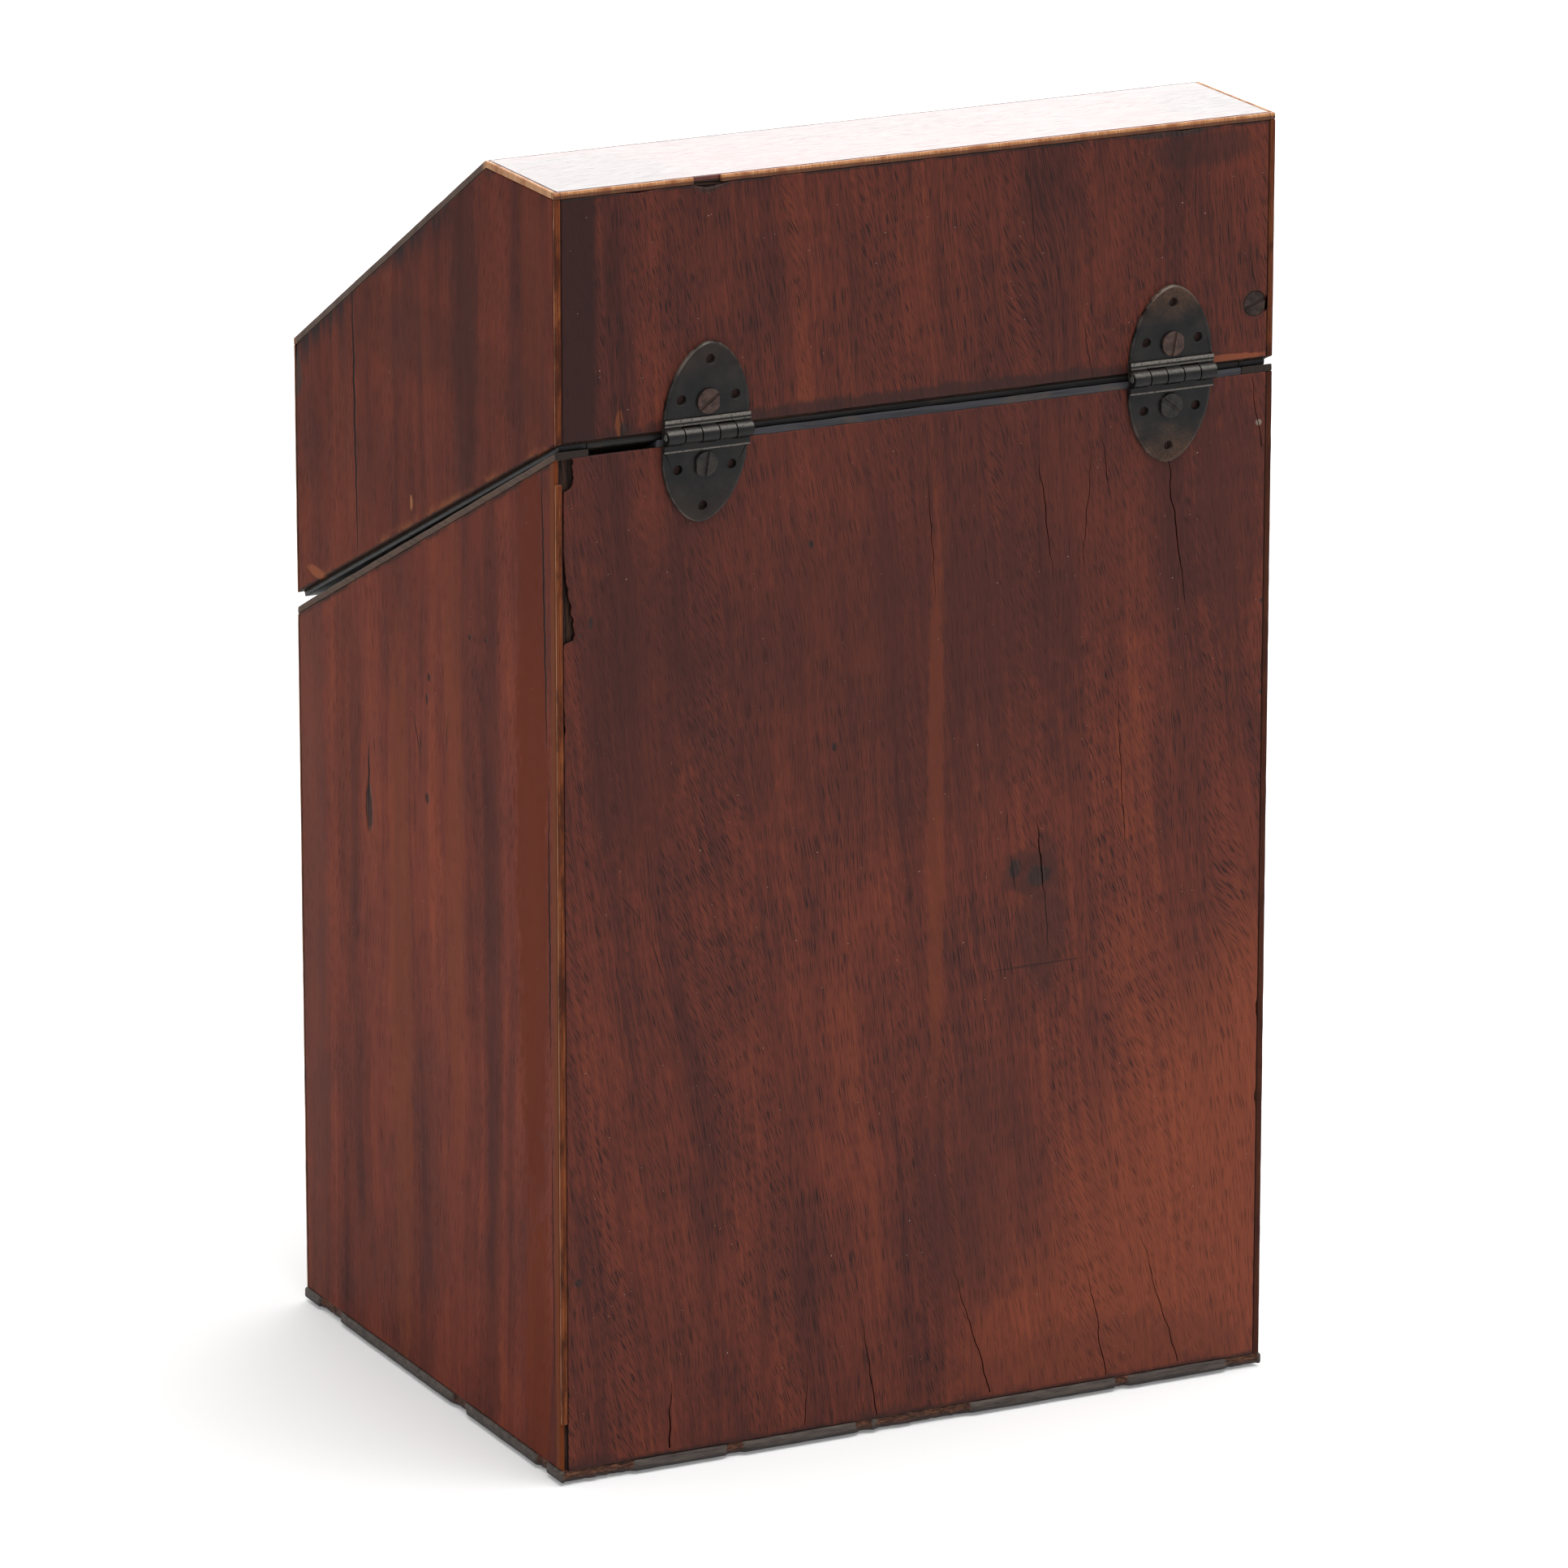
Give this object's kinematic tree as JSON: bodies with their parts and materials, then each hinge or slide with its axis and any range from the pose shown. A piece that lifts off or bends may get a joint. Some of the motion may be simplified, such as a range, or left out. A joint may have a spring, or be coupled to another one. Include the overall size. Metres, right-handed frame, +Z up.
{
  "type": "knife box",
  "caption": "Tall slope-lidded mahogany veneered box on a flat foot, hinged at the back, with a sloping pierced cutlery rack inside and a box lock in front.",
  "frame": {"origin": "middle of the underside, on the surface that the box stands on", "axes": "+Z up, -Y the front with the lock, +Y the hinged back, +X the right side seen from the front"},
  "size_m": [0.2292, 0.1855, 0.38],
  "materials": {
    "mahogany_veneer": "old french polish, satin to glossy, worn",
    "carcase_wood": "bare pine, darkened",
    "boxwood_string": "polished, dirty",
    "rim_banding": "worn brown",
    "dark_bead": "ebonised, satin",
    "foot_edging": "grey brown, worn",
    "baize": "felted wool",
    "rack_wood": "oiled",
    "hinge_bronze": "dark bronzed, dirty",
    "screw_iron": "dull iron",
    "pin_steel": "dull steel",
    "lock_brass": "old brass"
  },
  "bodies": {
    "case": {"baize_underlay": "baize", "bottom_board": "carcase_wood", "case_board_back": "carcase_wood", "case_board_front": "carcase_wood", "case_board_left": "carcase_wood", "case_board_right": "carcase_wood", "case_strings_back": "boxwood_string", "case_strings_front": "boxwood_string", "case_veneer_back": "mahogany_veneer", "case_veneer_front": "mahogany_veneer", "case_veneer_left": "mahogany_veneer", "case_veneer_right": "mahogany_veneer", "cutlery_rack": "rack_wood", "escutcheon": "lock_brass", "foot_edging_back": "foot_edging", "foot_edging_front": "foot_edging", "foot_edging_left": "foot_edging", "foot_edging_right": "foot_edging", "hinge_lower_leaf_left": "hinge_bronze", "hinge_lower_leaf_right": "hinge_bronze", "hinge_lower_screw_left": "screw_iron", "hinge_lower_screw_right": "screw_iron", "hinge_pin_left": "pin_steel", "hinge_pin_right": "pin_steel", "lock_case": "lock_brass", "rack_batten_left": "rack_wood", "rack_batten_right": "rack_wood", "rim_banding_back": "rim_banding", "rim_banding_front": "rim_banding", "rim_banding_left": "rim_banding", "rim_banding_right": "rim_banding"},
    "lid": {"hinge_upper_leaf_left": "hinge_bronze", "hinge_upper_leaf_right": "hinge_bronze", "hinge_upper_screw_left": "screw_iron", "hinge_upper_screw_right": "screw_iron", "lid_bead_back": "dark_bead", "lid_bead_front": "dark_bead", "lid_bead_left": "dark_bead", "lid_bead_right": "dark_bead", "lid_board_back": "carcase_wood", "lid_board_front": "carcase_wood", "lid_board_left": "carcase_wood", "lid_board_right": "carcase_wood", "lid_board_slope": "carcase_wood", "lid_board_top": "carcase_wood", "lid_mending_screw": "screw_iron", "lid_string_slope_foot": "boxwood_string", "lid_string_top": "boxwood_string", "lid_strings_back": "boxwood_string", "lid_strings_front": "boxwood_string", "lid_strings_side": "boxwood_string", "lid_veneer_back": "mahogany_veneer", "lid_veneer_front": "mahogany_veneer", "lid_veneer_left": "mahogany_veneer", "lid_veneer_right": "mahogany_veneer", "lid_veneer_slope": "mahogany_veneer", "lid_veneer_top": "mahogany_veneer", "lock_link_plate": "lock_brass"},
    "lock_bolt": {"lock_bolt": "pin_steel"}
  },
  "joints": [
    {"name": "lid_hinge", "type": "hinge", "parent": "case", "child": "lid", "pos_m": [0, 0.0926, 0.3071], "axis": [-1, 0, 0], "range_deg": [0, 170]},
    {"name": "bolt_throw", "type": "slide", "parent": "case", "child": "lock_bolt", "axis": [-1, 0, 0], "range_m": [0, 0.003]}
  ]
}
